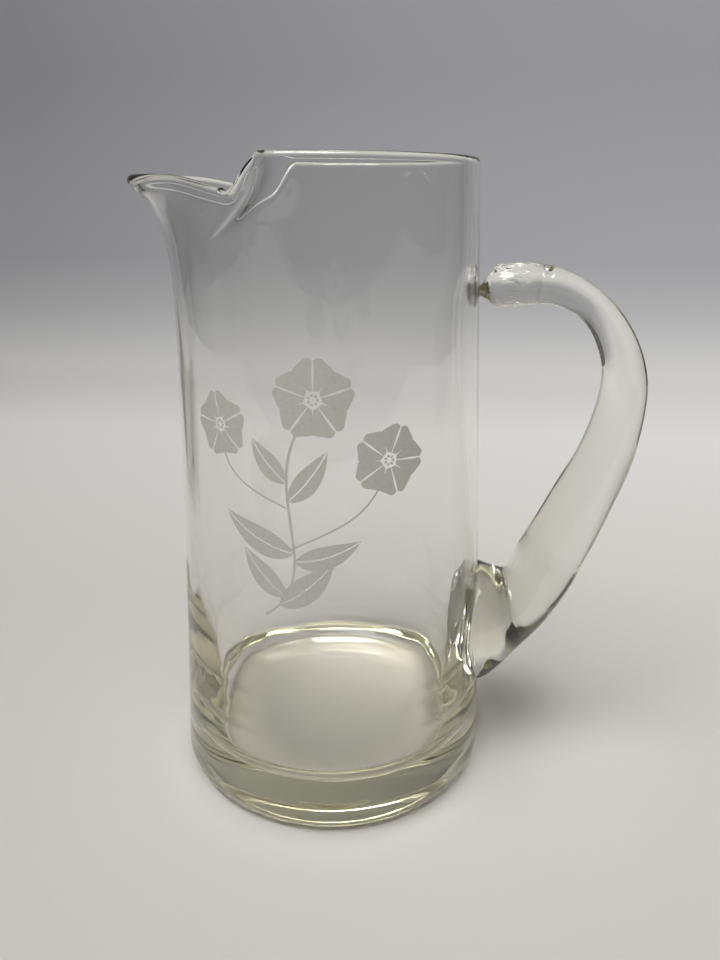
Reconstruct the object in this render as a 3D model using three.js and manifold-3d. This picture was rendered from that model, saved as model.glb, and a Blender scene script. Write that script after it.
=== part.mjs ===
import * as THREE from 'three';
import { mergeVertices } from 'three/addons/utils/BufferGeometryUtils.js';
import Module from 'manifold-3d';

// A hand-blown glass pitcher: a tapered body with a heavy base, its rim pinched in two folds
// and pulled out between them into a pouring lip, and a solid glass rod handle welded to its wall.
// Millimetres, +Z up, origin at the centre of the underside, lip towards -X, handle towards +X.

// Body
const height = 210.5; // underside to the top of the rim
const baseDiameter = 113; // outside taper, carried down to the underside
const rimDiameter = 90; // outside, at the rim
const wallAtRim = 3;
const wallAtBase = 2.2; // carried down to the underside, without the swell
const wallSwell = 5.7; // how much the wall thickens on its inside towards the floor
const swellTop = 80; // height at which that swell begins
const swellRun = 70; // height over which it grows
const floorThickness = 14;
const floorFillet = 10; // inside, between floor and wall
const heelRadius = 6.5; // outside, between wall and underside

// Pouring lip; angles are in degrees round the axis from the middle of the lip
const lipReach = 13.2; // pull of the tip beyond the bulged throat
const lipReachDepth = 13; // depth in which that pull dies away
const lipHalfAngle = 20; // where the pull has fallen to about a third
const throatBulge = 4; // gentle outward swing of the wall below the lip
const throatDepth = 190; // how far down that swing begins
const throatHalfAngle = 42;
const lipTipDrop = 7; // tip below the rim
const lipRootDrop = 9.6; // lip below the rim where it leaves the fold
const lipArch = 1.4; // rise of the lip's edge between root and tip
const lipDropDepth = 45; // depth in which the lip's drop dies away
const lipBead = 0.65; // how much the polished edge of the lip swells on either face
const lipBeadDepth = 0.3;
const lipBeadHalf = 1.25;

// Folds, one each side of the lip: the rim steps down from stepStart to stepEnd and the wall is pinched in.
// A crease starts at its angle and runs straight down at first. Then it sweeps in under the lip, narrows
// from half to tailHalf and has died away at its end.
const tightFold = {
  angle: 66,
  sweep: 21,
  end: 25,
  depth: 2.7,
  half: 4,
  tailHalf: 1.6,
  stepStart: 68.5,
  stepEnd: 57,
};
const slackFold = {
  angle: 60,
  sweep: 4,
  end: 20,
  depth: 1.5,
  half: 9,
  tailHalf: 9,
  stepStart: 68,
  stepEnd: 52,
};
const foldStraight = 4; // straight run of both creases below the rim
const sweepCurve = 1.7; // above 1 a crease sweeps in faster further down

// Handle: a rod drawn up from a broad foot, bent over and touched to the wall by its blunt end
const topWeldHeight = 171.3;
const footWeldHeight = 51.5;
const gripReach = 47.8; // wall to the middle of the rod at its widest swing
const weldHalf = 1.4; // half thicknesses of the rod: where its end meets the wall,
const tipHalf = 6.8; // in the blunt bulb behind that end,
const bendHalf = 5.3; // round the bend,
const gripHalf = 7.4; // at the grip,
const lowerHalf = 11.6; // and above the foot
const footHalfHeight = 22; // half sizes of the foot where it meets the wall
const footHalfWidth = 21;
const weldGap = 0.3; // between the rod and the wall

// Fineness of the facets
const lipColumns = 80;
const backColumns = 28;
const columnBend = 25; // degrees either side of a fold over which the columns bend along it
const foldRows = 12;
const foldSpread = 1.3; // above 1 the rows beside the folds stand closer together at the rim
const lowerRows = 9;
const lowerSpread = 1.3; // above 1 the lower rows stand wider apart further down
const arcSteps = 4;
const rodSides = 18;
const rodSteps = 44;

const degree = Math.PI / 180;
const taper = (baseDiameter - rimDiameter) / 2 / height;
const taperAngle = Math.atan(taper);
const rimCentre = height - wallAtRim / 2;

const smooth = (value) => THREE.MathUtils.smoothstep(value, 0, 1);
const bell = (offset, halfWidth) => Math.exp(-((offset / halfWidth) ** 2));
const outsideRadius = (z) => baseDiameter / 2 - taper * z;
const wrapped = (turn) => THREE.MathUtils.euclideanModulo(turn + Math.PI, 2 * Math.PI) - Math.PI;

// The tight fold lies on the -Y side of the lip, the slack one on the +Y side
const foldBeside = (turn) => (wrapped(turn) > 0 ? tightFold : slackFold);

// Where the crease of a fold runs, by the distance below the top of the rim
function creaseAngle(fold, below) {
  const share = THREE.MathUtils.clamp((below - foldStraight) / (fold.end - foldStraight), 0, 1);
  return fold.angle - fold.sweep * share ** sweepCurve;
}

// One along the lip, nothing round the rest of the rim, and in between down the step at each fold
function lipShare(turn) {
  const { stepStart, stepEnd } = foldBeside(turn);
  return 1 - smooth((Math.abs(wrapped(turn)) / degree - stepEnd) / (stepStart - stepEnd));
}

const bead = (turn, depth) => lipBead * lipShare(turn) * bell(depth - lipBeadDepth, lipBeadHalf);

// A point of the outer skin: turn is the angle from the middle of the lip,
// depth the distance below the centre of the rim's rounding before the lip is pulled.
// The same skin without folds, or with wider ones, serves the inside of the wall.
function skin(turn, depth, folded = 1, widening = 0) {
  const fold = foldBeside(turn);
  const away = Math.abs(wrapped(turn)) / degree;
  const alongLip = Math.min(away / fold.stepEnd, 1);
  const lipDrop = lipTipDrop + (lipRootDrop - lipTipDrop) * alongLip ** 2
    - lipArch * Math.sin(Math.PI * alongLip) ** 2;
  const z = rimCentre - depth - lipShare(turn) * lipDrop * (1 - smooth(depth / lipDropDepth));

  const pull = lipReach * Math.exp(-depth / lipReachDepth) * bell(away, lipHalfAngle);
  const bulge = throatBulge * Math.max(1 - depth / throatDepth, 0) ** 2 * bell(away, throatHalfAngle);

  const below = height - z;
  const fade = 1 - smooth((below - foldStraight) / (fold.end - foldStraight));
  const narrowing = smooth((below - 2 * foldStraight) / (fold.end - 2 * foldStraight));
  const half = THREE.MathUtils.lerp(fold.half, fold.tailHalf, narrowing) + widening;
  const pinch = folded * fold.depth * fade * bell(away - creaseAngle(fold, below), half);

  const radius = outsideRadius(rimCentre - depth) + pull + bulge + bead(turn, depth) - pinch;
  return new THREE.Vector3(-radius * Math.cos(turn), -radius * Math.sin(turn), z);
}

// The outward normal of the skin as it was before the folds were pinched,
// and the direction in that skin that leads square out of the rim.
function skinDirections(turn, depth) {
  const small = 0.05;
  const around = skin(turn + small * degree, depth, 0).sub(skin(turn - small * degree, depth, 0));
  const upward = skin(turn, depth - small, 0).sub(skin(turn, depth + small, 0));
  const normal = around.clone().cross(upward).normalize();
  const rimward = normal.clone().cross(around).normalize();
  return { normal, rimward };
}

function wallThickness(depth) {
  const swell = wallSwell * smooth((swellTop - rimCentre + depth) / swellRun);
  return THREE.MathUtils.lerp(wallAtRim, wallAtBase, depth / height) + swell;
}

// Rings of the body, each a function that gives its point at one turn round the axis
const plainRing = (radius, z) => (turn) =>
  new THREE.Vector3(-radius * Math.cos(turn), -radius * Math.sin(turn), z);

// The turn of a column at some depth: straight down, but bent along the sweep of a fold beside it
function bentTurn(column, depth) {
  const fold = foldBeside(column);
  const away = Math.abs(wrapped(column)) / degree;
  const below = height - rimCentre + depth + lipRootDrop * (1 - smooth(depth / lipDropDepth));
  const settled = smooth((depth - tightFold.end) / tightFold.end);
  const drift = (fold.angle - creaseAngle(fold, below)) * (1 - settled);
  return Math.sign(wrapped(column)) * (away - drift * bell(away - fold.angle, columnBend)) * degree;
}

const outerRing = (depth) => (column) => skin(bentTurn(column, depth), depth);

// Inside, the folds are wider, because the glass wraps round them
const innerRing = (depth) => (column) => {
  const turn = bentTurn(column, depth);
  const thickness = wallThickness(depth);
  const widening = thickness / rimDiameter / degree;
  const { normal } = skinDirections(turn, depth);
  return skin(turn, depth, 1, widening).addScaledVector(normal, -thickness - 2 * bead(turn, depth));
};

// The rim is rounded over from the outer skin to the inner one
const rimRing = (angle) => (turn) => {
  const { rimward } = skinDirections(turn, 0);
  const inward = (1 - Math.cos(angle)) / 2;
  const lift = (wallAtRim / 2 + bead(turn, 0)) * Math.sin(angle);
  return outerRing(0)(turn).lerp(innerRing(0)(turn), inward).addScaledVector(rimward, lift);
};

function arcRings(centreRadius, centreZ, radius, fromAngle, toAngle) {
  return Array.from({ length: arcSteps + 1 }, (_, step) => {
    const angle = THREE.MathUtils.lerp(fromAngle, toAngle, step / arcSteps);
    return plainRing(centreRadius + radius * Math.cos(angle), centreZ + radius * Math.sin(angle));
  });
}

// Depths of the wall's rings: close together beside the folds, then wider and wider down to a given depth
function wallDepths(lowest) {
  const depths = [];
  for (let row = 0; row < foldRows; row += 1) {
    depths.push(tightFold.end * (row / foldRows) ** foldSpread);
  }
  for (let row = 0; row <= lowerRows; row += 1) {
    depths.push(tightFold.end + (lowest - tightFold.end) * (row / lowerRows) ** lowerSpread);
  }
  return depths;
}

function bodyRings() {
  const heelCentre = outsideRadius(heelRadius) - heelRadius / Math.cos(taperAngle);
  const heel = arcRings(heelCentre, heelRadius, heelRadius, -Math.PI / 2, taperAngle);
  const heelTop = heelRadius * (1 + Math.sin(taperAngle));
  const outside = wallDepths(rimCentre - heelTop).slice(0, -1).map(outerRing);

  const rim = [];
  for (let step = 1; step < arcSteps; step += 1) {
    rim.push(rimRing((Math.PI * step) / arcSteps));
  }

  const filletZ = floorThickness + floorFillet;
  const filletDepth = rimCentre - filletZ;
  const insideRadius = outsideRadius(filletZ) - wallThickness(filletDepth) / Math.cos(taperAngle);
  const fillet = arcRings(insideRadius - floorFillet, filletZ, floorFillet, 0, -Math.PI / 2);
  const inside = wallDepths(filletDepth).slice(0, -1).map(innerRing);

  return [
    plainRing(0, 0), ...heel, ...outside.reverse(), ...rim,
    ...inside, ...fillet, plainRing(0, floorThickness),
  ];
}

// Turns of the columns round the axis: close together across the lip and its folds, wide at the back
function columnTurns() {
  const lipEdge = (tightFold.stepStart + 3 * tightFold.half) * degree;
  const turns = [];
  for (let column = 0; column < lipColumns; column += 1) {
    turns.push(THREE.MathUtils.lerp(-lipEdge, lipEdge, column / lipColumns));
  }
  for (let column = 0; column <= backColumns; column += 1) {
    turns.push(THREE.MathUtils.lerp(lipEdge, 2 * Math.PI - lipEdge, column / backColumns));
  }
  return turns;
}

// A turned solid whose rings are then moved to where the ring functions put them
function turnedGeometry(rings) {
  const turns = columnTurns();
  const profile = rings.map((ring) => {
    const point = ring(Math.PI);
    return new THREE.Vector2(Math.hypot(point.x, point.y), point.z);
  });
  const geometry = new THREE.LatheGeometry(profile, turns.length - 1);
  const position = geometry.getAttribute('position');
  turns.forEach((turn, column) => {
    rings.forEach((ring, row) => {
      position.setXYZ(column * rings.length + row, ...ring(turn).toArray());
    });
  });
  geometry.computeVertexNormals();
  return geometry;
}

// The rod: round rings along a curve in the plane of the handle, whose ends reach into the wall
function rodGeometry() {
  const top = topWeldHeight;
  const foot = footWeldHeight;
  const between = THREE.MathUtils.lerp;
  const round = (half) => [half, half];
  const swellHeight = between(lowerHalf, footHalfHeight, 0.4);
  const swellWidth = between(lowerHalf, footHalfWidth, 0.5);
  // Each station: distance from the wall, height, lean of the ring in degrees, half thickness, half width
  const stations = [
    [-weldHalf, top, 98, ...round(weldHalf / 2)], // inside the wall
    [0.5, top, 98, ...round(weldHalf)], // top weld
    [3.2, top + 0.6, 98, ...round(0.62 * tipHalf)],
    [6.5, top + 1.4, 98, ...round(tipHalf)], // blunt bulb
    [14, top + 2.3, 96, ...round(0.97 * tipHalf)],
    [0.44 * gripReach, top + 2.2, 89, ...round(between(tipHalf, bendHalf, 0.4))],
    [0.57 * gripReach, top + 0.8, 80, ...round(between(tipHalf, bendHalf, 0.7))], // into the bend
    [0.774 * gripReach, top - 5.2, 52, ...round(bendHalf)],
    [0.925 * gripReach, top - 15.2, 24, ...round(between(bendHalf, gripHalf, 0.4))],
    [gripReach, top - 28.5, 0, ...round(gripHalf)], // grip
    [0.925 * gripReach, foot + 69, -15, ...round(between(gripHalf, lowerHalf, 0.4))],
    [0.753 * gripReach, foot + 49, -23, ...round(between(gripHalf, lowerHalf, 0.75))],
    [0.544 * gripReach, foot + 27.5, -26, ...round(lowerHalf)], // lower end of the rod
    [0.387 * gripReach, foot + 12.8, -47, lowerHalf, between(lowerHalf, footHalfWidth, 0.2)],
    [0.22 * gripReach, foot + 4.7, -79, swellHeight, swellWidth], // swelling into the foot
    [0, foot, -88, footHalfHeight, footHalfWidth], // foot weld
    [-footHalfWidth / 2, foot, -90, footHalfHeight, footHalfWidth], // inside the wall
  ];
  const path = new THREE.CatmullRomCurve3(
    stations.map(([reach, z]) => new THREE.Vector3(outsideRadius(z) + reach, 0, z)),
  );
  const rings = new THREE.CatmullRomCurve3(
    stations.map(([, , lean, thickness, width]) => new THREE.Vector3(lean, thickness, width)),
  );

  const geometry = new THREE.SphereGeometry(1, rodSides, rodSteps);
  const position = geometry.getAttribute('position');
  const sideways = new THREE.Vector3(0, 1, 0);
  for (let step = 0; step <= rodSteps; step += 1) {
    const along = step / rodSteps;
    const { x: lean, y: thickness, z: width } = rings.getPoint(along);
    const outward = new THREE.Vector3(Math.cos(lean * degree), 0, Math.sin(lean * degree));
    const closed = step === 0 || step === rodSteps ? 0 : 1;
    for (let side = 0; side <= rodSides; side += 1) {
      const angle = (2 * Math.PI * side) / rodSides;
      const point = path.getPoint(along)
        .addScaledVector(outward, closed * thickness * Math.cos(angle))
        .addScaledVector(sideways, closed * width * Math.sin(angle));
      position.setXYZ(step * (rodSides + 1) + side, ...point.toArray());
    }
  }
  return geometry;
}

// The sleeve of wall that the rod's ends are cut to, one weld gap larger than the wall itself
function wallSleeve() {
  const below = -heelRadius;
  const above = height + heelRadius;
  const depthOfCut = rimDiameter / 4;
  const outer = (z) => outsideRadius(z) + weldGap / Math.cos(taperAngle);
  return turnedGeometry([
    plainRing(outer(below), below),
    plainRing(outer(above), above),
    plainRing(outer(above) - depthOfCut, above),
    plainRing(outer(below) - depthOfCut, below),
    plainRing(outer(below), below),
  ]);
}

const wasm = await Module();
wasm.setup();

function toSolid(geometry) {
  const bare = geometry.clone();
  bare.deleteAttribute('normal');
  bare.deleteAttribute('uv');
  const welded = mergeVertices(bare);
  return new wasm.Manifold(new wasm.Mesh({
    numProp: 3,
    vertProperties: new Float32Array(welded.getAttribute('position').array),
    triVerts: new Uint32Array(welded.index.array),
  }));
}

function toGeometry(solid) {
  const mesh = solid.getMesh();
  const geometry = new THREE.BufferGeometry();
  geometry.setAttribute('position', new THREE.BufferAttribute(mesh.vertProperties, 3));
  geometry.setIndex(new THREE.BufferAttribute(mesh.triVerts, 1));
  geometry.computeVertexNormals();
  return geometry;
}

const sodaLimeGlass = { color: 0xd9dccf, roughness: 0.04, metalness: 0, transparent: true, opacity: 0.45 };

const body = new THREE.Mesh(turnedGeometry(bodyRings()), new THREE.MeshStandardMaterial(sodaLimeGlass));
body.name = 'blown_body';

const handle = new THREE.Mesh(
  toGeometry(toSolid(rodGeometry()).subtract(toSolid(wallSleeve()))),
  new THREE.MeshStandardMaterial({ ...sodaLimeGlass, opacity: 0.55 }),
);
handle.name = 'rod_handle';

const pitcher = new THREE.Group();
pitcher.add(body, handle);

export default pitcher;
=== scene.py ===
import math

import bpy
import numpy as np
from mathutils import Matrix, Vector


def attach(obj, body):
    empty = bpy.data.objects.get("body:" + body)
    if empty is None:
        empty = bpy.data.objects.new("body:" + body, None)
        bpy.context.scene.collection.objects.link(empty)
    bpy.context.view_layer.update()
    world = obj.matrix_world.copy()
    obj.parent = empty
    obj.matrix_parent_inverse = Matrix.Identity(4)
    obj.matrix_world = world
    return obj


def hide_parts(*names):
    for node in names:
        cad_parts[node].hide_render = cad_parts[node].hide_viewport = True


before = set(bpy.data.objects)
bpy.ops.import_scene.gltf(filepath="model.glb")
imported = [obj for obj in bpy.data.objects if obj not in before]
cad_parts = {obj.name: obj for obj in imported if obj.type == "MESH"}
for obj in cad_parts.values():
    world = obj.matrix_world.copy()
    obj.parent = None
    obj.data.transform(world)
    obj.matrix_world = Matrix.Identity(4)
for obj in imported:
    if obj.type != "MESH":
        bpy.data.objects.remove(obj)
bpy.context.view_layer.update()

# Blown body
# Clear soda-lime glass, blown into a plain tapered mould with a heavy floor, cracked off and fire-polished.
# While it was hot its rim was pinched in two folds and pulled out between them into a pouring lip.
# Sizes are in millimetres, angles in degrees round the axis from the handle.

mm = 0.001  # in metres

height = 210.5
base_diameter = 113.0
rim_diameter = 90.0
wall_at_rim = 3.0
wall_at_base = 2.2  # carried down to the underside, without the swell
wall_swell = 5.7  # the wall thickens on its inside towards the floor
swell_top = 80.0
swell_run = 70.0
heel_radius = 6.5
stand_inset = 3.0  # the pitcher stands on a ring about this wide
base_dish = 0.5  # the underside is hollow by this much inside that ring
dish_flat = 0.8  # share of the hollow's radius over which it is flat
floor_thickness = 14.0
floor_fillet = 10.0
floor_ring_radius = 12.0  # a faint raised ring in the middle of the floor
floor_ring_half = 1.6
floor_ring_height = 0.12

lip_reach = 13.2
lip_reach_depth = 13.0
lip_half_angle = 20.0
lip_tip_drop = 7.0
lip_root_drop = 9.6
lip_arch = 1.4
lip_drop_depth = 45.0
lip_bead = 0.3  # the fire-polished edge is thicker along the lip
lip_bead_depth = 0.3
lip_bead_half = 1.7
throat_bulge = 4.0
throat_depth = 190.0
throat_half_angle = 42.0

# The fold on the -Y side of the lip is tight and trails off under it, the one on the +Y side is slack.
tight_fold = {
    "angle": 66.0, "sweep": 21.0, "end": 25.0, "depth": 2.5, "half": 4.3, "tail_half": 1.6,
    "step_start": 69.0, "step_end": 56.5, "bead_full": 65.5, "bead_end": 73.5,
}
slack_fold = {
    "angle": 60.0, "sweep": 4.0, "end": 20.0, "depth": 1.5, "half": 9.0, "tail_half": 9.0,
    "step_start": 68.0, "step_end": 52.0, "bead_full": 52.0, "bead_end": 68.0,
}
fold_straight = 4.0
sweep_curve = 1.7
sweep_half_angle = 25.0  # the mesh bends along with a fold's sweep this far beside it

foot_weld_height = 51.5
foot_weld_half_width = 21.3
foot_weld_half_height = 22.3
top_weld_height = 171.3
top_weld_half = 1.5
foot_weld_spread = 1.95  # how far the mesh gives way round a weld, in sizes of the weld
top_weld_spread = 4.0

# Cords run down the wall: how many go round it, their share, how much they drift, and where they start.
cord_sets = ((9, 0.5, 1.0, 0.0), (17, 0.34, -2.0, 1.3), (31, 0.2, 0.0, 0.4))
cord_depth = 0.09
cord_drift = 0.35
cord_drift_length = 31.0
cord_rise = 90.0  # they reach their full depth at this height
ripple_depth = 0.08  # ripples go round it, where the mould chilled the glass above the floor
ripple_length = 7.5
ripple_sway = 0.5
ripple_full = 45.0
ripple_fade = 35.0

taper = (base_diameter - rim_diameter) / 2 / height
taper_angle = math.atan(taper)
rim_centre = height - wall_at_rim / 2


def smooth(value):
    share = np.clip(value, 0.0, 1.0)
    return share * share * (3 - 2 * share)


def bell(offset, half_width):
    return np.exp(-((offset / half_width) ** 2))


def unit(vectors):
    return vectors / np.linalg.norm(vectors, axis=-1, keepdims=True)


def outside_radius(z):
    return base_diameter / 2 - taper * z


def ring_point(angle, radius, z):
    turn = np.radians(angle)
    return np.stack(np.broadcast_arrays(radius * np.cos(turn), radius * np.sin(turn), z), axis=-1)


def fold(angle, size):
    """A size of the fold on the same side of the lip as some angle."""
    return np.where(np.asarray(angle) > 0, slack_fold[size], tight_fold[size])


def crease_angle(angle, below):
    """How far from the lip's tip a fold's bottom lies: straight down at first, then in under the lip."""
    share = np.clip((below - fold_straight) / (fold(angle, "end") - fold_straight), 0, 1)
    return fold(angle, "angle") - fold(angle, "sweep") * share**sweep_curve


def lip_share(angle, full, end):
    """One along the lip, nothing round the rest of the rim, and in between across a run of each fold."""
    away = 180 - np.abs(angle)
    return 1 - smooth((away - fold(angle, full)) / (fold(angle, end) - fold(angle, full)))


def bead(angle, depth):
    return lip_bead * lip_share(angle, "bead_full", "bead_end") * bell(depth - lip_bead_depth, lip_bead_half)


def skin(angle, depth, folded=1.0, widening=0.0):
    """A point of the wall's outside, by its angle and its depth below the rim before the lip was pulled."""
    away = np.abs(180 - np.abs(angle))
    along_lip = np.minimum(away / fold(angle, "step_end"), 1)
    lip_drop = lip_tip_drop + (lip_root_drop - lip_tip_drop) * along_lip**2
    lip_drop = lip_drop - lip_arch * np.sin(np.pi * along_lip) ** 2
    lowered = lip_share(angle, "step_end", "step_start") * (1 - smooth(depth / lip_drop_depth))
    z = rim_centre - depth - lip_drop * lowered
    pull = lip_reach * np.exp(-depth / lip_reach_depth) * bell(away, lip_half_angle)
    bulge = throat_bulge * np.maximum(1 - depth / throat_depth, 0) ** 2 * bell(away, throat_half_angle)
    below = height - z
    fade = 1 - smooth((below - fold_straight) / (fold(angle, "end") - fold_straight))
    narrowing = smooth((below - 2 * fold_straight) / (fold(angle, "end") - 2 * fold_straight))
    half = fold(angle, "half") + (fold(angle, "tail_half") - fold(angle, "half")) * narrowing + widening
    pinch = folded * fold(angle, "depth") * fade * bell(away - crease_angle(angle, below), half)
    radius = outside_radius(rim_centre - depth) + pull + bulge + bead(angle, depth) - pinch
    return ring_point(angle, radius, z)


def skin_directions(angle, depth):
    """The unfolded skin's outward normal, and the way square out of its rim."""
    small = 0.05
    around = skin(angle + small, depth, 0) - skin(angle - small, depth, 0)
    upward = skin(angle, depth - small, 0) - skin(angle, depth + small, 0)
    normal = unit(np.cross(around, upward))
    return normal, unit(np.cross(normal, around))


def bent_angle(column, depth):
    """A column's angle at some depth: straight down, but bent along the sweep of a fold beside it."""
    away = 180 - np.abs(column)
    below = height - rim_centre + depth + lip_root_drop * (1 - smooth(depth / lip_drop_depth))
    settled = smooth((depth - tight_fold["end"]) / tight_fold["end"])
    drift = (fold(column, "angle") - crease_angle(column, below)) * (1 - settled)
    return np.sign(column) * (180 - away + drift * bell(away - fold(column, "angle"), sweep_half_angle))


def weld_edge_angle(weld_height, half_width):
    return math.degrees(math.asin(half_width / outside_radius(weld_height)))


def round_weld(angle, z, weld_height, half_width, half_height, spread):
    """Moves a square of the wall's mesh to a weld's oval outline, dying away at spread times its size."""
    edge = weld_edge_angle(weld_height, half_width)
    u = angle / edge
    v = (z - weld_height) / half_height
    square = np.maximum(np.abs(u), np.abs(v))
    far = smooth((square - 1) / (spread - 1))
    squeeze = square / np.maximum(np.hypot(u, v), 1e-9)
    squeeze = squeeze + (1 - squeeze) * far
    new_z = weld_height + v * squeeze * half_height
    near = square < spread
    sine = np.where(near, u * squeeze * half_width / outside_radius(new_z), 0.0)
    oval = np.degrees(np.arcsin(sine))
    new_angle = np.where(near, oval + (u * squeeze * edge - oval) * far, angle)
    return new_angle, np.where(near, new_z, z)


def waver(angle, z):
    """How far cords and ripples move the wall's inside, a tenth of a millimetre or so."""
    turn = np.radians(angle)
    drift = cord_drift * np.sin(z / cord_drift_length)
    cords = 0
    for count, share, lean, start in cord_sets:
        cords = cords + share * np.sin(count * turn + lean * drift + start)
    ripples = np.sin(2 * math.pi * z / ripple_length + ripple_sway * np.sin(2 * turn))
    ripples = ripples * (1 - smooth((z - ripple_full) / ripple_fade))
    return cord_depth * cords * smooth(z / cord_rise) + ripple_depth * ripples


def wall_thickness(depth):
    swell = wall_swell * smooth((swell_top - rim_centre + depth) / swell_run)
    return wall_at_rim + (wall_at_base - wall_at_rim) * depth / height + swell


def inner_ring(depth):
    angle = bent_angle(columns, depth)
    thickness = wall_thickness(depth)
    widening = math.degrees(thickness / rim_diameter)
    normal, _ = skin_directions(angle, depth)
    uneven = waver(angle, rim_centre - depth) * smooth(depth / tight_fold["end"])
    inset = thickness + 2 * bead(angle, depth) + uneven
    return skin(angle, depth, 1.0, widening) - normal * inset[:, None]


def spaced(*runs):
    """Values from each run's start to the next run's, in its number of cells; a lone number ends them."""
    values = [
        np.linspace(start, nxt[0] if isinstance(nxt, tuple) else nxt, cells, endpoint=False)
        for (start, cells), nxt in zip(runs[:-1], runs[1:])
    ]
    return np.concatenate([*values, [runs[-1]]])


# The mesh is close round the lip and its folds, and its columns and rings run through the welds' edges.
fold_column = 98.0
lip_column = 138.0
lip_height = 178.0  # on the outside
lip_depth = 30.0  # and on the inside, below the rim
foot_edge = weld_edge_angle(foot_weld_height, foot_weld_half_width)
top_edge = weld_edge_angle(top_weld_height, top_weld_half)
half_columns = spaced((0, 4), (top_edge, 16), (foot_edge, 42), (fold_column, 56), (lip_column, 34), 180)
columns = np.concatenate([-half_columns[-2:0:-1], half_columns])
heel_top = heel_radius * (1 + math.sin(taper_angle))
foot_low = foot_weld_height - foot_weld_half_height
foot_high = foot_weld_height + foot_weld_half_height
top_low = top_weld_height - top_weld_half
top_high = top_weld_height + top_weld_half
outer_heights = spaced(
    (heel_top, 10), (foot_low, 22), (foot_high, 32), (top_low, 8), (top_high, 4), (lip_height, 40),
    rim_centre,
)
dish_cells = 13
heel_cells = 11
edge_cells = 10
fillet_cells = 13
floor_cells = 23

# The rings go from the middle of the underside up the outside, over the rim and down to the floor.
rings = []
stand_radius = outside_radius(0) - heel_radius - stand_inset
for radius in np.linspace(0, stand_radius, dish_cells + 1)[1:]:
    rise = 1 - smooth((radius / stand_radius - dish_flat) / (1 - dish_flat))
    rings.append(ring_point(columns, radius, base_dish * rise))
heel_centre = outside_radius(heel_radius) - heel_radius / math.cos(taper_angle)
for turn in np.linspace(-math.pi / 2, taper_angle, heel_cells + 1)[:-1]:
    radius = heel_centre + heel_radius * math.cos(turn)
    rings.append(ring_point(columns, radius, heel_radius * (1 + math.sin(turn))))
outer_start = len(rings)
foot_weld = (foot_weld_height, foot_weld_half_width, foot_weld_half_height, foot_weld_spread)
top_weld = (top_weld_height, top_weld_half, top_weld_half, top_weld_spread)
for z in outer_heights:
    angle = bent_angle(columns, rim_centre - z)
    angle, new_z = round_weld(angle, np.full_like(angle, z), *foot_weld)
    angle, new_z = round_weld(angle, new_z, *top_weld)
    rings.append(skin(angle, rim_centre - new_z))
outer_edge = rings[-1]
inner_edge = inner_ring(0.0)
_, rimward = skin_directions(columns, 0.0)
half_edge = wall_at_rim / 2 + bead(columns, 0.0)[:, None]
for turn in np.linspace(0, math.pi, edge_cells + 1)[1:-1]:
    inward = (1 - math.cos(turn)) / 2
    lift = half_edge * math.sin(turn)
    rings.append(outer_edge * (1 - inward) + inner_edge * inward + rimward * lift)
fillet_z = floor_thickness + floor_fillet
fillet_depth = rim_centre - fillet_z
for depth in spaced((0.0, 40), (lip_depth, 50), fillet_depth):
    rings.append(inner_ring(depth))
inside_radius = outside_radius(fillet_z) - wall_thickness(fillet_depth) / math.cos(taper_angle)
floor_edge = inside_radius - floor_fillet
for turn in np.linspace(0, -math.pi / 2, fillet_cells + 1)[1:]:
    radius = floor_edge + floor_fillet * math.cos(turn)
    rings.append(ring_point(columns, radius, fillet_z + floor_fillet * math.sin(turn)))
for radius in np.linspace(floor_edge, 0, floor_cells + 1)[1:-1]:
    raised = floor_ring_height * bell(radius - floor_ring_radius, floor_ring_half)
    rings.append(ring_point(columns, radius, floor_thickness + raised))
hubs = [[0, 0, base_dish], [0, 0, floor_thickness]]


def loop_faces(loops, around, turned):
    """Faces between closed loops of points, and fans to the two hubs after them; turned reverses each."""
    faces = []
    hub = loops * around
    last = hub - around
    pairs = [(here, (here + 1) % around) for here in range(around)]
    if turned:
        pairs = [(there, here) for here, there in pairs]
    for low in range(0, last, around):
        high = low + around
        faces += [(low + here, low + there, high + there, high + here) for here, there in pairs]
    for here, there in pairs:
        faces.append((there, here, hub))
        faces.append((last + here, last + there, hub + 1))
    return faces


weld_boxes = ((foot_low, foot_high, foot_edge), (top_low, top_high, top_edge))


def inside_weld(row, column):
    """Whether a face of the mesh, from one ring and column to the next, lies under a weld."""
    outer_row = row - outer_start
    if not 0 <= outer_row < len(outer_heights) - 1 or column == len(columns) - 1:
        return False
    middle_z = (outer_heights[outer_row] + outer_heights[outer_row + 1]) / 2
    middle_angle = abs(columns[column] + columns[column + 1]) / 2
    return any(low < middle_z < high and middle_angle < edge for low, high, edge in weld_boxes)


def glass_piece(name, points, faces, fused):
    """A piece from points in millimetres, whose fused faces take its second material."""
    mesh = bpy.data.meshes.new(name)
    mesh.from_pydata((points * mm).tolist(), [], faces)
    mesh.polygons.foreach_set("use_smooth", [True] * len(faces))
    mesh.polygons.foreach_set("material_index", [int(face) for face in fused])
    piece = bpy.data.objects.new(name, mesh)
    bpy.context.scene.collection.objects.link(piece)
    return piece


def linear(hex_colour):
    """An sRGB hex colour as linear red, green, blue and alpha."""
    parts = [int(hex_colour[i : i + 2], 16) / 255 for i in (1, 3, 5)]
    return [p / 12.92 if p <= 0.04045 else ((p + 0.055) / 1.055) ** 2.4 for p in parts] + [1.0]


def add_node(tree, kind, settings=None, inputs=None):
    """Adds a node, sets its options and sets or links its inputs."""
    made = tree.nodes.new(kind)
    for name, value in (settings or {}).items():
        setattr(made, name, value)
    for name, value in (inputs or {}).items():
        if isinstance(value, bpy.types.NodeSocket):
            tree.links.new(value, made.inputs[name])
        else:
            made.inputs[name].default_value = value
    return made


def new_material(name):
    material = bpy.data.materials.new(name)
    material.use_nodes = True
    material.node_tree.nodes.clear()
    return material, material.node_tree


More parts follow.
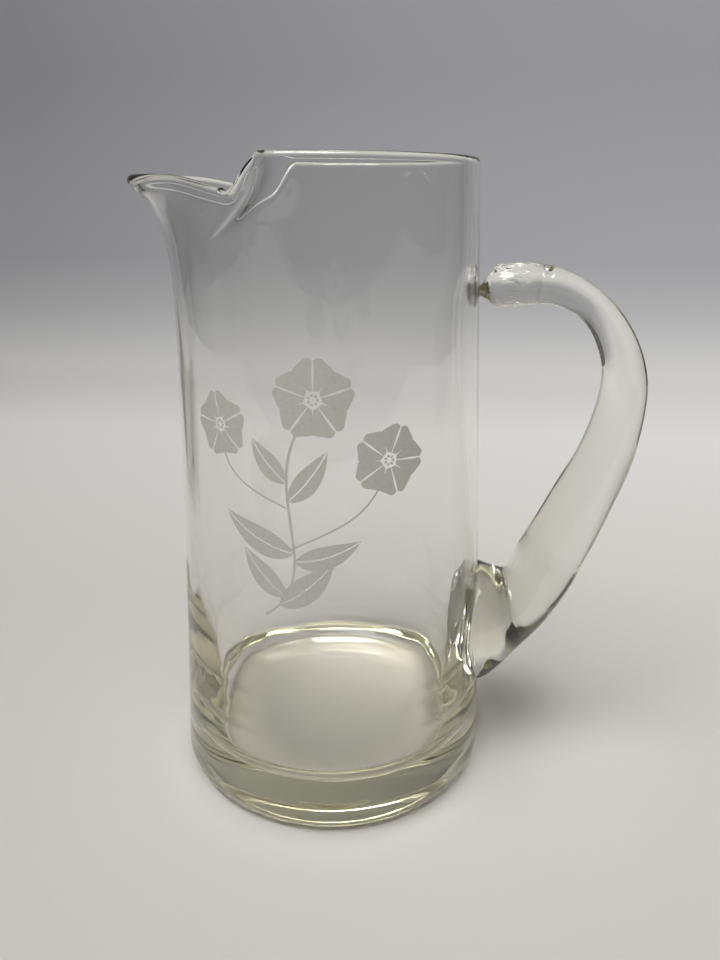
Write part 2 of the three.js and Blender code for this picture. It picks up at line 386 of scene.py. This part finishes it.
def finish_glass(tree, relief, relief_depth):
    """Clear glass with a relief on its surface: colourless where thin, olive through centimetres of it."""
    polish = add_node(tree, "ShaderNodeBump", inputs={
        "Height": relief, "Strength": 1.0, "Distance": relief_depth * mm,
    })
    glass = add_node(tree, "ShaderNodeBsdfPrincipled", inputs={
        "Base Color": linear("#fdfdfd"), "Roughness": 0.0, "IOR": 1.51, "Transmission Weight": 1.0,
        "Normal": polish.outputs["Normal"],
    })
    tint = add_node(tree, "ShaderNodeVolumeAbsorption", inputs={"Color": linear("#e3e0b8"), "Density": 11.0})
    add_node(tree, "ShaderNodeOutputMaterial", inputs={
        "Surface": glass.outputs["BSDF"], "Volume": tint.outputs["Volume"],
    })


# Soda-lime glass, blown: the skin of the mould leaves faint upright streaks in its polish.
streak_width = 5.0
streak_depth = 0.01
streak_stretch = 0.3
soda_lime_glass, tree = new_material("soda_lime_glass")
place = add_node(tree, "ShaderNodeTexCoord")
stretch = add_node(tree, "ShaderNodeMapping", inputs={
    "Vector": place.outputs["Object"], "Scale": (1.0, 1.0, streak_stretch),
})
streaks = add_node(tree, "ShaderNodeTexNoise", inputs={
    "Vector": stretch.outputs["Vector"], "Scale": 1 / (streak_width * mm), "Detail": 1.0,
})
finish_glass(tree, streaks.outputs["Fac"], streak_depth)

# Fused seam: where handle and wall melted together there is no surface left to see.
fused_seam, tree = new_material("fused_seam")
melted = add_node(tree, "ShaderNodeBsdfTransparent", inputs={"Color": linear("#ffffff")})
add_node(tree, "ShaderNodeOutputMaterial", inputs={"Surface": melted.outputs["BSDF"]})

body_faces = loop_faces(len(rings), len(columns), turned=False)
body_fused = [inside_weld(row, column) for row in range(len(rings) - 1) for column in range(len(columns))]
body_fused += [False] * (len(body_faces) - len(body_fused))
body = glass_piece("blown_body.glass", np.concatenate([*rings, hubs]), body_faces, body_fused)
body.data.materials.append(soda_lime_glass)
body.data.materials.append(fused_seam)
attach(body, "root")
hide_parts("blown_body")

# Etched spray
# A spray of flowers on the side of the body, eaten matt with acid through a stencil with clear bridges.
# It is drawn flat in millimetres, right and up from the middle of its place, and wrapped on to the wall.

spray_angle = -95.0
spray_height = 119.0
frost_low = 0.02  # above the wall's outside
frost_high = 0.05
bridge = 0.45  # clear gap between two parts of the stencil
main_stem_width = 0.8
side_stem_width = 0.6
leaf_teeth = 9
leaf_tooth = 0.05  # share of the leaf's width
leaf_fullness = 0.9
leaf_lean = 0.8  # below 1 the leaf is widest nearer to its root
petals = 5
petal_width = 0.52  # half width, as a share of the blossom's radius
petal_root = 0.2  # the clear middle, as a share of the radius
petal_crease = 0.06  # half of the clear crease, as a share of the half width
petal_notch = 0.12  # how far the tip is cut back in its middle and at its corners, as shares of the length
petal_corner = 0.16
petal_fullness = 0.8
petal_swell = (0.1, 0.86)  # the part of a half wave that its outline follows
pollen_grains = 7
pollen_ring = 0.11  # share of the radius
pollen_half = 0.35
stem_points = 28
leaf_points = 19
petal_points = 9
petal_columns = 6

spray_points = []
spray_faces = []


def etch(grid):
    """Adds a patch of frost, from rows of flat points, as a thin closed shell on the wall."""
    rows, across = grid.shape[:2]
    z = spray_height + grid[..., 1].ravel()
    angle = spray_angle + np.degrees(grid[..., 0].ravel() / outside_radius(z))
    normal, _ = skin_directions(angle, rim_centre - z)
    wall = skin(angle, rim_centre - z)
    first = sum(len(part) for part in spray_points)
    spray_points.extend([wall + frost_high * normal, wall + frost_low * normal])
    index = first + np.arange(rows * across).reshape(rows, across)
    under = index + rows * across
    for i in range(rows - 1):
        for j in range(across - 1):
            spray_faces.append((index[i, j], index[i, j + 1], index[i + 1, j + 1], index[i + 1, j]))
            spray_faces.append((under[i, j], under[i + 1, j], under[i + 1, j + 1], under[i, j + 1]))
    edge = [(i, 0) for i in range(rows)] + [(rows - 1, j) for j in range(1, across)]
    edge += [(i, across - 1) for i in range(rows - 2, -1, -1)] + [(0, j) for j in range(across - 2, 0, -1)]
    for here, there in zip(edge, edge[1:] + edge[:1]):
        spray_faces.append((index[here], index[there], under[there], under[here]))


def curve(knots, share):
    """Points on a cubic curve, from the first knot towards the second and from the third to the last."""
    a, b, c, d = (np.array(knot, dtype=float) for knot in knots)
    t = np.atleast_1d(share)[:, None]
    return a * (1 - t) ** 3 + 3 * b * t * (1 - t) ** 2 + 3 * c * t**2 * (1 - t) + d * t**3


def etch_band(line, right_edge, left_edge, across=4):
    """Etches the band beside a line, from one distance right of it to another, each given along the line."""
    way = unit(np.gradient(line, axis=0))
    sideways = np.stack([way[:, 1], -way[:, 0]], axis=-1)
    shares = np.linspace(0, 1, across)[None, :, None]
    offsets = left_edge[:, None, None] * (1 - shares) + right_edge[:, None, None] * shares
    etch(line[:, None, :] + sideways[:, None, :] * offsets)


def etch_stem(knots, width):
    line = curve(knots, np.linspace(0, 1, stem_points))
    half = np.full(len(line), width / 2)
    etch_band(line, half, -half, across=2)


def heading_ways(heading):
    """The way of a heading in degrees from upright, to the right, and the way square to it."""
    turn = math.radians(heading)
    way = np.array([math.sin(turn), math.cos(turn)])
    return way, np.array([way[1], -way[0]])


def etch_leaf(root, heading, length, width, bend):
    """A leaf in two halves beside a clear midrib."""
    share = np.linspace(0, 1, leaf_points)
    way, side = heading_ways(heading)
    line = np.array(root) + length * (share[:, None] * way + bend * share[:, None] ** 2 * side)
    teeth = 1 + leaf_tooth * np.sin(share * leaf_teeth * 2 * math.pi)
    half = width / 2 * np.sin(math.pi * share**leaf_lean) ** leaf_fullness * teeth
    rib = np.minimum(np.full_like(share, bridge / 2), half / 2)
    etch_band(line, half, rib)
    etch_band(line, -rib, -half)


def etch_blossom(middle, radius, lean):
    """Notched petals, each with a clear crease, round a ring of pollen."""
    out = np.linspace(0, 1, petal_points)
    reach = petal_root + (1 - petal_root) * out
    room = radius * reach * math.tan(math.pi / petals) - bridge / 2
    swell = np.sin(math.pi * np.linspace(*petal_swell, petal_points)) ** petal_fullness
    half = np.minimum(radius * petal_width * swell, room)
    for petal in range(petals):
        way, side = heading_ways(lean + 360 / petals * petal)
        for low, high in ((-1.0, -petal_crease), (petal_crease, 1.0)):
            spread = np.linspace(low, high, petal_columns)
            rounding = 1 - petal_notch * (1 - np.abs(spread)) ** 2 - petal_corner * spread**4
            length = petal_root + (1 - petal_root) * out[:, None] * rounding
            flat = np.array(middle) + radius * length[..., None] * way
            etch(flat + (half[:, None] * spread)[..., None] * side)
    square = pollen_half * np.array([[(-1, -1), (1, -1)], [(-1, 1), (1, 1)]])
    for grain in range(pollen_grains):
        turn = 2 * math.pi * grain / pollen_grains
        etch(np.array(middle) + radius * pollen_ring * np.array([math.cos(turn), math.sin(turn)]) + square)


main_stem = ((-12, -39), (10, -24), (-16, 2), (2, 24))
etch_stem(main_stem, main_stem_width)
etch_stem(((-4, -17), (8, -10), (18, -8), (23, 4)), side_stem_width)
etch_stem(((-5, -4), (-14, 0), (-24, 2), (-26, 12)), side_stem_width)
etch_blossom((3, 28), 12, 0)
etch_blossom((25, 10), 11, 20)
etch_blossom((-27, 18), 10, -12)
leaves = (
    # place along the stem, heading, length, width, bend
    (0.08, 62, 22, 8.5, -0.25),
    (0.14, -58, 19, 7.5, 0.25),
    (0.34, 88, 20, 7.5, -0.3),
    (0.38, -82, 24, 8.5, 0.3),
    (0.62, 48, 19, 7.0, -0.2),
    (0.7, -52, 16, 6.5, 0.2),
)
for share, heading, length, width, bend in leaves:
    etch_leaf(curve(main_stem, share)[0], heading, length, width, bend)

# Acid-etched frost: pale and matt, grey against a bright ground. Its real grain is too fine to show here,
# so it is drawn about a millimetre coarse.
frost_grains = 0.9  # in a millimetre
etched_frost, tree = new_material("acid_etched_frost")
place = add_node(tree, "ShaderNodeTexCoord")
grain = add_node(tree, "ShaderNodeTexNoise", inputs={
    "Vector": place.outputs["Object"], "Scale": frost_grains / mm, "Detail": 2.0,
})
shade = add_node(tree, "ShaderNodeValToRGB", inputs={"Fac": grain.outputs["Fac"]})
shade.color_ramp.elements[0].color = linear("#bdbeb5")
shade.color_ramp.elements[1].color = linear("#d3d3ca")
frost = add_node(tree, "ShaderNodeBsdfPrincipled", inputs={
    "Base Color": shade.outputs["Color"], "Roughness": 0.85, "Specular IOR Level": 0.2, "Alpha": 0.85,
})
add_node(tree, "ShaderNodeOutputMaterial", inputs={"Surface": frost.outputs["BSDF"]})

no_seam = [False] * len(spray_faces)
spray = glass_piece("blown_body.etched_spray", np.concatenate(spray_points), spray_faces, no_seam)
spray.data.set_sharp_from_angle(angle=math.radians(30))
spray.data.materials.append(etched_frost)
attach(spray, "root")

# Rod handle
# A solid rod of the same glass, drawn up from a broad foot that was stuck to the wall, bent over by hand
# and touched to the wall by its blunt end. Both ends melted into the wall.

grip_reach = 47.8  # wall to the middle of the rod at its widest swing
weld_half = 1.4
tip_half = 6.8
bend_half = 5.3
grip_half = 7.4
lower_half = 11.6
foot_half_height = 22.0
foot_half_width = 21.0

shear_reach = 18.7  # a shear mark goes round the rod, so far from the wall
shear_half = 0.5
shear_depth = 0.25
notch_half = 1.1  # and a notch beside it, towards the front
notch_depth = 1.7
notch_side = -0.5
notch_spread = 0.42

# Cords run along the drawn rod: how many go round it, their share, and where they start.
rod_cord_sets = ((7, 0.5, 0.0), (12, 0.35, 1.1), (19, 0.25, 2.3))
rod_cord_depth = 0.035
rod_cord_twist = 0.004  # radians per millimetre
rod_cord_rise = 12.0  # they reach their full depth so far from the wall
# Shallow dents were left on its bulb by tongs: waves round the rod, and radians per millimetre along it.
dent_waves = ((5, 0.35), (-2, 0.55))
dent_depth = 0.12
bulb_middle = 8.0
bulb_half = 7.0
bulb_rise = 2.0  # above the upper weld


def between(low, high, share):
    return low + (high - low) * share


top = top_weld_height
foot = foot_weld_height
tip_neck = 0.62 * tip_half
tip_end = 0.97 * tip_half
tip_to_bend = between(tip_half, bend_half, 0.4)
near_bend = between(tip_half, bend_half, 0.7)
bend_to_grip = between(bend_half, grip_half, 0.4)
grip_to_lower = between(grip_half, lower_half, 0.4)
near_lower = between(grip_half, lower_half, 0.75)
ankle_width = between(lower_half, foot_half_width, 0.2)
instep_height = between(lower_half, foot_half_height, 0.4)
instep_width = between(lower_half, foot_half_width, 0.5)
stations = np.array([
    # distance from the wall, height, lean of the ring in degrees, half thickness, half width
    (-weld_half, top, 98, weld_half / 2, weld_half / 2),
    (0.5, top, 98, weld_half, weld_half),
    (3.2, top + 0.6, 98, tip_neck, tip_neck),
    (6.5, top + 1.4, 98, tip_half, tip_half),
    (14, top + 2.3, 96, tip_end, tip_end),
    (0.44 * grip_reach, top + 2.2, 89, tip_to_bend, tip_to_bend),
    (0.57 * grip_reach, top + 0.8, 80, near_bend, near_bend),
    (0.774 * grip_reach, top - 5.2, 52, bend_half, bend_half),
    (0.925 * grip_reach, top - 15.2, 24, bend_to_grip, bend_to_grip),
    (grip_reach, top - 28.5, 0, grip_half, grip_half),
    (0.925 * grip_reach, foot + 69, -15, grip_to_lower, grip_to_lower),
    (0.753 * grip_reach, foot + 49, -23, near_lower, near_lower),
    (0.544 * grip_reach, foot + 27.5, -26, lower_half, lower_half),
    (0.387 * grip_reach, foot + 12.8, -47, lower_half, ankle_width),
    (0.22 * grip_reach, foot + 4.7, -79, instep_height, instep_width),
    (0, foot, -88, foot_half_height, foot_half_width),
    (-foot_half_width / 2, foot, -90, foot_half_height, foot_half_width),
])
path_knots = np.stack([outside_radius(stations[:, 1]) + stations[:, 0], stations[:, 1]], axis=-1)
ring_knots = stations[:, 2:]


def spline(knots, where):
    """A smooth curve through the knots, where whole numbers are the knots themselves."""
    padded = np.array([2 * knots[0] - knots[1], *knots, 2 * knots[-1] - knots[-2]])
    start = np.clip(np.floor(where).astype(int), 0, len(knots) - 2)
    share = (where - start)[..., None]
    p0, p1, p2, p3 = (padded[start + step] for step in range(4))
    t01, t12, t23 = (
        np.sqrt(np.maximum(np.linalg.norm(b - a, axis=-1, keepdims=True), 1e-4))
        for a, b in ((p0, p1), (p1, p2), (p2, p3))
    )
    leave = ((p1 - p0) / t01 - (p2 - p0) / (t01 + t12) + (p2 - p1) / t12) * t12
    arrive = ((p2 - p1) / t12 - (p3 - p1) / (t12 + t23) + (p3 - p2) / t23) * t12
    square = 3 * (p2 - p1) - 2 * leave - arrive
    cube = 2 * (p1 - p2) + leave + arrive
    return p1 + leave * share + square * share**2 + cube * share**3


def rod_middle(where):
    """The middle of the rod at a place along the stations."""
    middle = spline(path_knots, where)
    return np.stack([middle[..., 0], 0 * where, middle[..., 1]], axis=-1)


def rod_point(where, side):
    """A point of the rod's surface, by its place along the stations and its angle round the rod."""
    lean, thickness, width = np.moveaxis(spline(ring_knots, where), -1, 0)
    lean = np.radians(lean)
    reach = thickness * np.cos(side)
    spoke = [reach * np.cos(lean), width * np.sin(side), reach * np.sin(lean)]
    return rod_middle(where) + np.stack(spoke, axis=-1)


def meet_wall(side, buried_end, free_end):
    """Where each side of the rod meets the wall, between a place inside the wall and one outside it."""
    halvings = 40
    low = np.full_like(side, buried_end)
    high = np.full_like(side, free_end)
    for _ in range(halvings):
        middle = (low + high) / 2
        point = rod_point(middle, side)
        buried = np.hypot(point[..., 0], point[..., 1]) < outside_radius(point[..., 2])
        low = np.where(buried, middle, low)
        high = np.where(buried, high, middle)
    return (low + high) / 2


def shear_mark(reach, side):
    around = np.abs((side - notch_side + math.pi) % (2 * math.pi) - math.pi)
    ring = shear_depth * bell(reach - shear_reach, shear_half)
    notch = bell(reach - shear_reach - 2 * notch_half, notch_half) * bell(around, notch_spread)
    return ring + notch_depth * notch


def drawn_marks(reach, side):
    """Cords along the drawn rod, and the shallow dents on its bulb."""
    twist = side + rod_cord_twist * reach
    cords = sum(share * np.sin(count * twist + start) for count, share, start in rod_cord_sets)
    dents = math.prod(np.sin(waves * side + pace * reach) for waves, pace in dent_waves)
    on_bulb = bell(reach - bulb_middle, bulb_half)
    return rod_cord_depth * cords * smooth(reach / rod_cord_rise) + dent_depth * dents * on_bulb


def on_wall(y, z):
    return np.stack([np.sqrt(outside_radius(z) ** 2 - y**2), y, z], axis=-1)


def weld_cap(outline, weld_height, cells):
    """Rings of a weld's face from its outline inwards, on the wall."""
    return [
        on_wall(outline[:, 1] * size, weld_height + (outline[:, 2] - weld_height) * size)
        for size in np.linspace(1, 0, cells + 1)[1:-1]
    ]


# The rod's rings stand closer where the shear mark and the notch are, and its ends take the welds' outlines.
top_free = 1.6  # stations from each end of the path, at which the rod is clear of the wall
foot_free = 2.0
fine_steps = 2000
rod_sides = 112
rod_rings = 190
mark_rings = 30
mark_start = shear_reach - 2
mark_end = shear_reach + 6
top_blend = 1.5
foot_blend = 4.0
top_cap_cells = 4
foot_cap_cells = 12

sides = np.linspace(0, 2 * math.pi, rod_sides, endpoint=False)
last_station = len(stations) - 1.0
starts = meet_wall(sides, 0.0, top_free)
ends = meet_wall(sides, last_station, last_station - foot_free)
fine = np.linspace(starts.mean(), ends.mean(), fine_steps)
steps = np.linalg.norm(np.diff(spline(path_knots, fine), axis=0), axis=1)
lengths = np.concatenate([[0], np.cumsum(steps)])
even_rings = np.linspace(0, lengths[-1], rod_rings)
close_rings = np.linspace(mark_start, mark_end, mark_rings)
along = np.sort(np.concatenate([even_rings, close_rings]))[:, None]
share = (np.interp(along, lengths, fine) - fine[0]) / (fine[-1] - fine[0])
wheres = starts + (ends - starts) * share
rod = rod_point(wheres, sides + 0 * wheres)
marks = shear_mark(along, sides) + drawn_marks(along, sides)
rod -= unit(rod - rod_middle(wheres)) * marks[..., None]

sideways = np.sin(sides)
upright = np.cos(sides)
top_outline = on_wall(top_weld_half * sideways, top_weld_height + top_weld_half * upright)
foot_outline = on_wall(foot_weld_half_width * sideways, foot_weld_height - foot_weld_half_height * upright)
rod += (top_outline - rod[0]) * np.exp(-along / top_blend)[..., None]
rod += (foot_outline - rod[-1]) * np.exp(-(lengths[-1] - along) / foot_blend)[..., None]
rod[0] = top_outline
rod[-1] = foot_outline

top_cap = weld_cap(top_outline, top_weld_height, top_cap_cells)
foot_cap = weld_cap(foot_outline, foot_weld_height, foot_cap_cells)
rod_loops = [*top_cap[::-1], *rod, *foot_cap]
rod_hubs = [on_wall(np.zeros(1), np.full(1, z)) for z in (top_weld_height, foot_weld_height)]
rod_faces = loop_faces(len(rod_loops), rod_sides, turned=True)
free_faces = (len(rod) - 1) * rod_sides
rod_fused = [True] * (len(top_cap) * rod_sides) + [False] * free_faces
rod_fused += [True] * (len(rod_faces) - len(rod_fused))

# Soda-lime glass, drawn: smooth along the rod, with swirls on the bulb, where tools worked it when stiff.
swirl_width = 3.2
swirl_depth = 0.55
swirl_stretch = 0.45
swirl_core = 4.0  # full within this distance of the bulb's middle
swirl_end = 15.0
bulb_centre = (outside_radius(top_weld_height) + bulb_middle, 0.0, top_weld_height + bulb_rise)
drawn_glass, tree = new_material("drawn_soda_lime_glass")
place = add_node(tree, "ShaderNodeTexCoord")
away = add_node(tree, "ShaderNodeVectorMath", {"operation": "DISTANCE"}, {
    0: place.outputs["Object"], 1: [size * mm for size in bulb_centre],
})
near = add_node(tree, "ShaderNodeMapRange", {"interpolation_type": "SMOOTHSTEP"}, {
    "Value": away.outputs["Value"], "From Min": swirl_core * mm, "From Max": swirl_end * mm,
    "To Min": 1.0, "To Max": 0.0,
})
stretch = add_node(tree, "ShaderNodeMapping", inputs={
    "Vector": place.outputs["Object"], "Scale": (swirl_stretch, 1.0, 1.0),
})
swirls = add_node(tree, "ShaderNodeTexNoise", inputs={
    "Vector": stretch.outputs["Vector"], "Scale": 1 / (swirl_width * mm), "Detail": 0.5, "Distortion": 1.6,
})
on_bulb = add_node(tree, "ShaderNodeMath", {"operation": "MULTIPLY"}, {
    0: swirls.outputs["Fac"], 1: near.outputs["Result"],
})
finish_glass(tree, on_bulb.outputs[0], swirl_depth)

handle = glass_piece("rod_handle.glass", np.concatenate([*rod_loops, *rod_hubs]), rod_faces, rod_fused)
handle.data.materials.append(drawn_glass)
handle.data.materials.append(fused_seam)
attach(handle, "root")
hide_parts("rod_handle")

# Floor and backdrop
# One sheet of matt white card, laid flat under the pitcher and curved up behind it, so that no edge shows.
# Its sizes are in metres. It is painted paler near the bend and greyer towards the front and the top, as
# painted light and shade.

sheet_half_width = 1.2
sheet_front = -0.6
sheet_bend = 0.55
bend_radius = 0.35
sheet_top = 1.6
flat_until = 0.464  # in front of the bend and above it the sheet is flat in its shading too
flat_above = 0.9
sheet_gap = 0.0004  # below the pitcher, so that the two don't touch
bend_cells = 19

sheet_back = sheet_bend + bend_radius
sheet_profile = [(sheet_front, 0.0), (flat_until, 0.0)]
for turn in np.linspace(0, math.pi / 2, bend_cells + 1):
    sheet_profile.append((sheet_bend + bend_radius * math.sin(turn), bend_radius * (1 - math.cos(turn))))
sheet_profile += [(sheet_back, flat_above), (sheet_back, sheet_top)]
sheet_points = []
for x in (-sheet_half_width, sheet_half_width):
    sheet_points += [(x, y, z - sheet_gap) for y, z in sheet_profile]
run = len(sheet_profile)
sheet_faces = [(step, step + run, step + run + 1, step + 1) for step in range(run - 1)]
sheet_mesh = bpy.data.meshes.new("backdrop")
sheet_mesh.from_pydata(sheet_points, [], sheet_faces)
sheet_mesh.polygons.foreach_set("use_smooth", [True] * len(sheet_faces))
backdrop = bpy.data.objects.new("backdrop", sheet_mesh)
bpy.context.scene.collection.objects.link(backdrop)

# Matt card with painted light and shade in its colour, which changes from the front to the top and is
# painted a little paler on the handle's side.
painted_light_tones = (
    # share of the way from tone_start to tone_end, along the floor and then up, and the tone there, with its
    # painted light and shade
    (0.08, "#b9b6b1"),
    (0.25, "#c3c0bb"),
    (0.5, "#dcdbd8"),
    (0.7, "#d2d1d0"),
    (0.833, "#b4b4b5"),
    (0.933, "#a5a5a8"),
)
tone_start = -0.2
tone_end = 1.0
white_card, tree = new_material("matt_white_card_painted_light")
place = add_node(tree, "ShaderNodeTexCoord")
split = add_node(tree, "ShaderNodeSeparateXYZ", inputs={"Vector": place.outputs["Object"]})
way = add_node(tree, "ShaderNodeMath", {"operation": "ADD"}, {0: split.outputs["Y"], 1: split.outputs["Z"]})
shade = add_node(tree, "ShaderNodeMapRange", inputs={
    "Value": way.outputs[0], "From Min": tone_start, "From Max": tone_end,
})
# This ramp paints the light and shade of the floor and backdrop into the card's colour.
ramp = add_node(tree, "ShaderNodeValToRGB", inputs={"Fac": shade.outputs["Result"]})
tones = ramp.color_ramp.elements
tones[0].position = painted_light_tones[0][0]
tones[1].position = painted_light_tones[-1][0]
for position, _ in painted_light_tones[1:-1]:
    tones.new(position)
for element, (_, tone) in zip(tones, painted_light_tones):
    element.color = linear(tone)
# Painted light: the card's colour is scaled up towards +X, the handle's side, and down towards -X.
across = add_node(tree, "ShaderNodeMapRange", inputs={
    "Value": split.outputs["X"], "From Min": -0.5, "From Max": 0.5, "To Min": 0.78, "To Max": 1.22,
})
toned = add_node(tree, "ShaderNodeVectorMath", {"operation": "SCALE"}, {
    0: ramp.outputs["Color"], "Scale": across.outputs["Result"],
})
card = add_node(tree, "ShaderNodeBsdfPrincipled", inputs={
    "Base Color": toned.outputs["Vector"], "Roughness": 0.8, "Specular IOR Level": 0.2,
})
add_node(tree, "ShaderNodeOutputMaterial", inputs={"Surface": card.outputs["BSDF"]})
sheet_mesh.materials.append(white_card)

# Light
# A wide soft box overhead, a low pale card that draws the edge of the clear glass, and a room that is pale
# above and dim below, which the thick glass shows as dark patches.

lamp = bpy.data.lights.new("soft_box", "AREA")
lamp.shape = "RECTANGLE"
lamp.size = 1.0
lamp.size_y = 0.8
lamp.energy = 23.4
soft_box = bpy.data.objects.new("soft_box", lamp)
bpy.context.scene.collection.objects.link(soft_box)
soft_box.location = (-0.2, -0.5, 1.5)
lit_middle = Vector((0, 0, 0.1))
soft_box.rotation_euler = (lit_middle - soft_box.location).to_track_quat("-Z", "Y").to_euler()

# Pale card: matt, and a little warmer than the backdrop. It stands on the lip's side, outside the picture.
card_height = 0.09
card_front = (-0.28, 0.1)
card_back = (-0.46, 0.55)
pale_card, tree = new_material("pale_card")
card = add_node(tree, "ShaderNodeBsdfPrincipled", inputs={"Base Color": linear("#c4c2b6"), "Roughness": 0.9})
add_node(tree, "ShaderNodeOutputMaterial", inputs={"Surface": card.outputs["BSDF"]})
card_corners = [(*card_front, 0), (*card_back, 0), (*card_back, card_height), (*card_front, card_height)]
card_mesh = bpy.data.meshes.new("edge_card")
card_mesh.from_pydata(card_corners, [], [(0, 1, 2, 3)])
card_mesh.materials.append(pale_card)
edge_card = bpy.data.objects.new("edge_card", card_mesh)
bpy.context.scene.collection.objects.link(edge_card)

world = bpy.data.worlds.new("studio")
bpy.context.scene.world = world
world.use_nodes = True
tree = world.node_tree
tree.nodes.clear()
place = add_node(tree, "ShaderNodeTexCoord")
split = add_node(tree, "ShaderNodeSeparateXYZ", inputs={"Vector": place.outputs["Generated"]})
shade = add_node(tree, "ShaderNodeMapRange", inputs={
    "Value": split.outputs["Z"], "From Min": 0.35, "From Max": 0.7,
})
ramp = add_node(tree, "ShaderNodeValToRGB", inputs={"Fac": shade.outputs["Result"]})
ramp.color_ramp.elements[0].color = linear("#333438")
ramp.color_ramp.elements[1].color = linear("#b4b4b2")
room = add_node(tree, "ShaderNodeBackground", inputs={"Color": ramp.outputs["Color"], "Strength": 1.0})
add_node(tree, "ShaderNodeOutputWorld", inputs={"Surface": room.outputs["Background"]})

# Camera
# Held at rim height, close to the pitcher and tipped down at it.
# Its place and angles were fitted to the outlines of the body, base, floor and rim.

camera_place = (0.0220, -0.2515, 0.2009)
camera_turn = math.radians(2.835)
camera_tip = math.radians(20.73)
camera_roll = math.radians(0.445)
focal_length = 765  # in pixels of a picture this tall
picture_height = 960

camera_data = bpy.data.cameras.new("camera")
camera_data.lens = focal_length / picture_height * camera_data.sensor_width
camera_data.clip_start = 0.01
camera = bpy.data.objects.new("camera", camera_data)
bpy.context.scene.collection.objects.link(camera)
level_ahead = Vector((-math.sin(camera_turn), math.cos(camera_turn), 0))
level_right = Vector((math.cos(camera_turn), math.sin(camera_turn), 0))
ahead = math.cos(camera_tip) * level_ahead - math.sin(camera_tip) * Vector((0, 0, 1))
level_up = level_right.cross(ahead)
right = math.cos(camera_roll) * level_right + math.sin(camera_roll) * level_up
up = math.cos(camera_roll) * level_up - math.sin(camera_roll) * level_right
camera_axes = Matrix((right, up, -ahead)).transposed().to_4x4()
camera.matrix_world = Matrix.Translation(camera_place) @ camera_axes
bpy.context.scene.camera = camera

bpy.context.scene.view_settings.view_transform = "Standard"
cycles = bpy.context.scene.cycles
cycles.max_bounces = 64
cycles.transmission_bounces = 64
cycles.glossy_bounces = 16
cycles.transparent_max_bounces = 32
cycles.blur_glossy = 0.0  # light falls through the clear glass on to the table unsoftened
